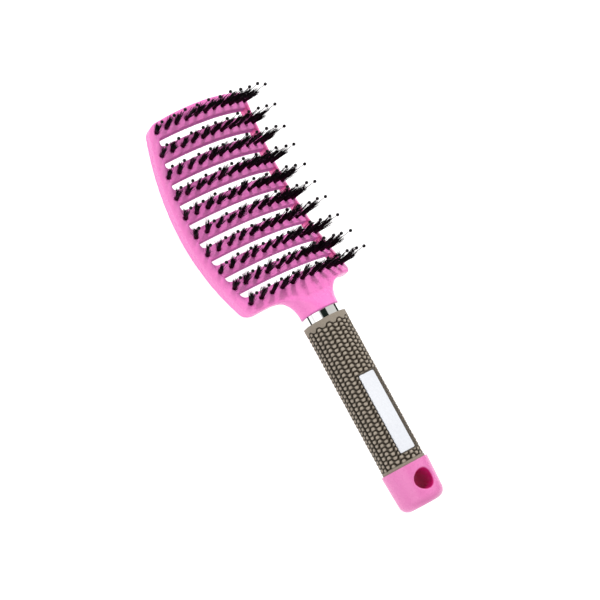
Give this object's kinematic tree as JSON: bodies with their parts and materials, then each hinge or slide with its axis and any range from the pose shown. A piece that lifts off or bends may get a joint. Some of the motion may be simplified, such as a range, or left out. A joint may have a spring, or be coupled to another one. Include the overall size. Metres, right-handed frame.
{
  "type": "vented detangling hairbrush",
  "caption": "Curved, vented hairbrush: arched ribbed head with bristle tufts and ball-tipped pins, round textured grip, metal collar and a cap with a hanging hole.",
  "frame": {"origin": "centre of the hanging hole, on the handle's axis", "axes": "+X along the handle to the tip of the head; +Z out of the bristle side, along the hanging hole; Y across the head"},
  "size_m": [0.2424, 0.0774, 0.0533],
  "materials": {
    "head_plastic": "satin pink moulded plastic",
    "cap_plastic": "satin pink moulded plastic",
    "core_plastic": "plain moulded plastic, hidden",
    "grip_rubber": "matte taupe rubber with a raised basket-weave pattern",
    "collar_chrome": "polished",
    "label_white": "smooth, blank",
    "tuft_bristle": "dark natural bristle",
    "pin_nylon": "black nylon",
    "staple_wire": "bright flat wire"
  },
  "bodies": {
    "root": {"head_frame": "head_plastic", "handle_core": "core_plastic", "collar": "collar_chrome", "grip_sleeve": "grip_rubber", "label_panel": "label_white", "end_cap": "cap_plastic", "tuft_row_01": "tuft_bristle", "pin_row_01": "pin_nylon", "staple_row_01": "staple_wire", "tuft_row_02": "tuft_bristle", "pin_row_02": "pin_nylon", "staple_row_02": "staple_wire", "tuft_row_03": "tuft_bristle", "pin_row_03": "pin_nylon", "staple_row_03": "staple_wire", "tuft_row_04": "tuft_bristle", "pin_row_04": "pin_nylon", "staple_row_04": "staple_wire", "tuft_row_05": "tuft_bristle", "pin_row_05": "pin_nylon", "staple_row_05": "staple_wire", "tuft_row_06": "tuft_bristle", "pin_row_06": "pin_nylon", "staple_row_06": "staple_wire", "tuft_row_07": "tuft_bristle", "pin_row_07": "pin_nylon", "staple_row_07": "staple_wire", "tuft_row_08": "tuft_bristle", "pin_row_08": "pin_nylon", "staple_row_08": "staple_wire", "tuft_row_09": "tuft_bristle", "pin_row_09": "pin_nylon", "staple_row_09": "staple_wire", "tuft_row_10": "tuft_bristle", "pin_row_10": "pin_nylon", "staple_row_10": "staple_wire"}
  },
  "joints": []
}
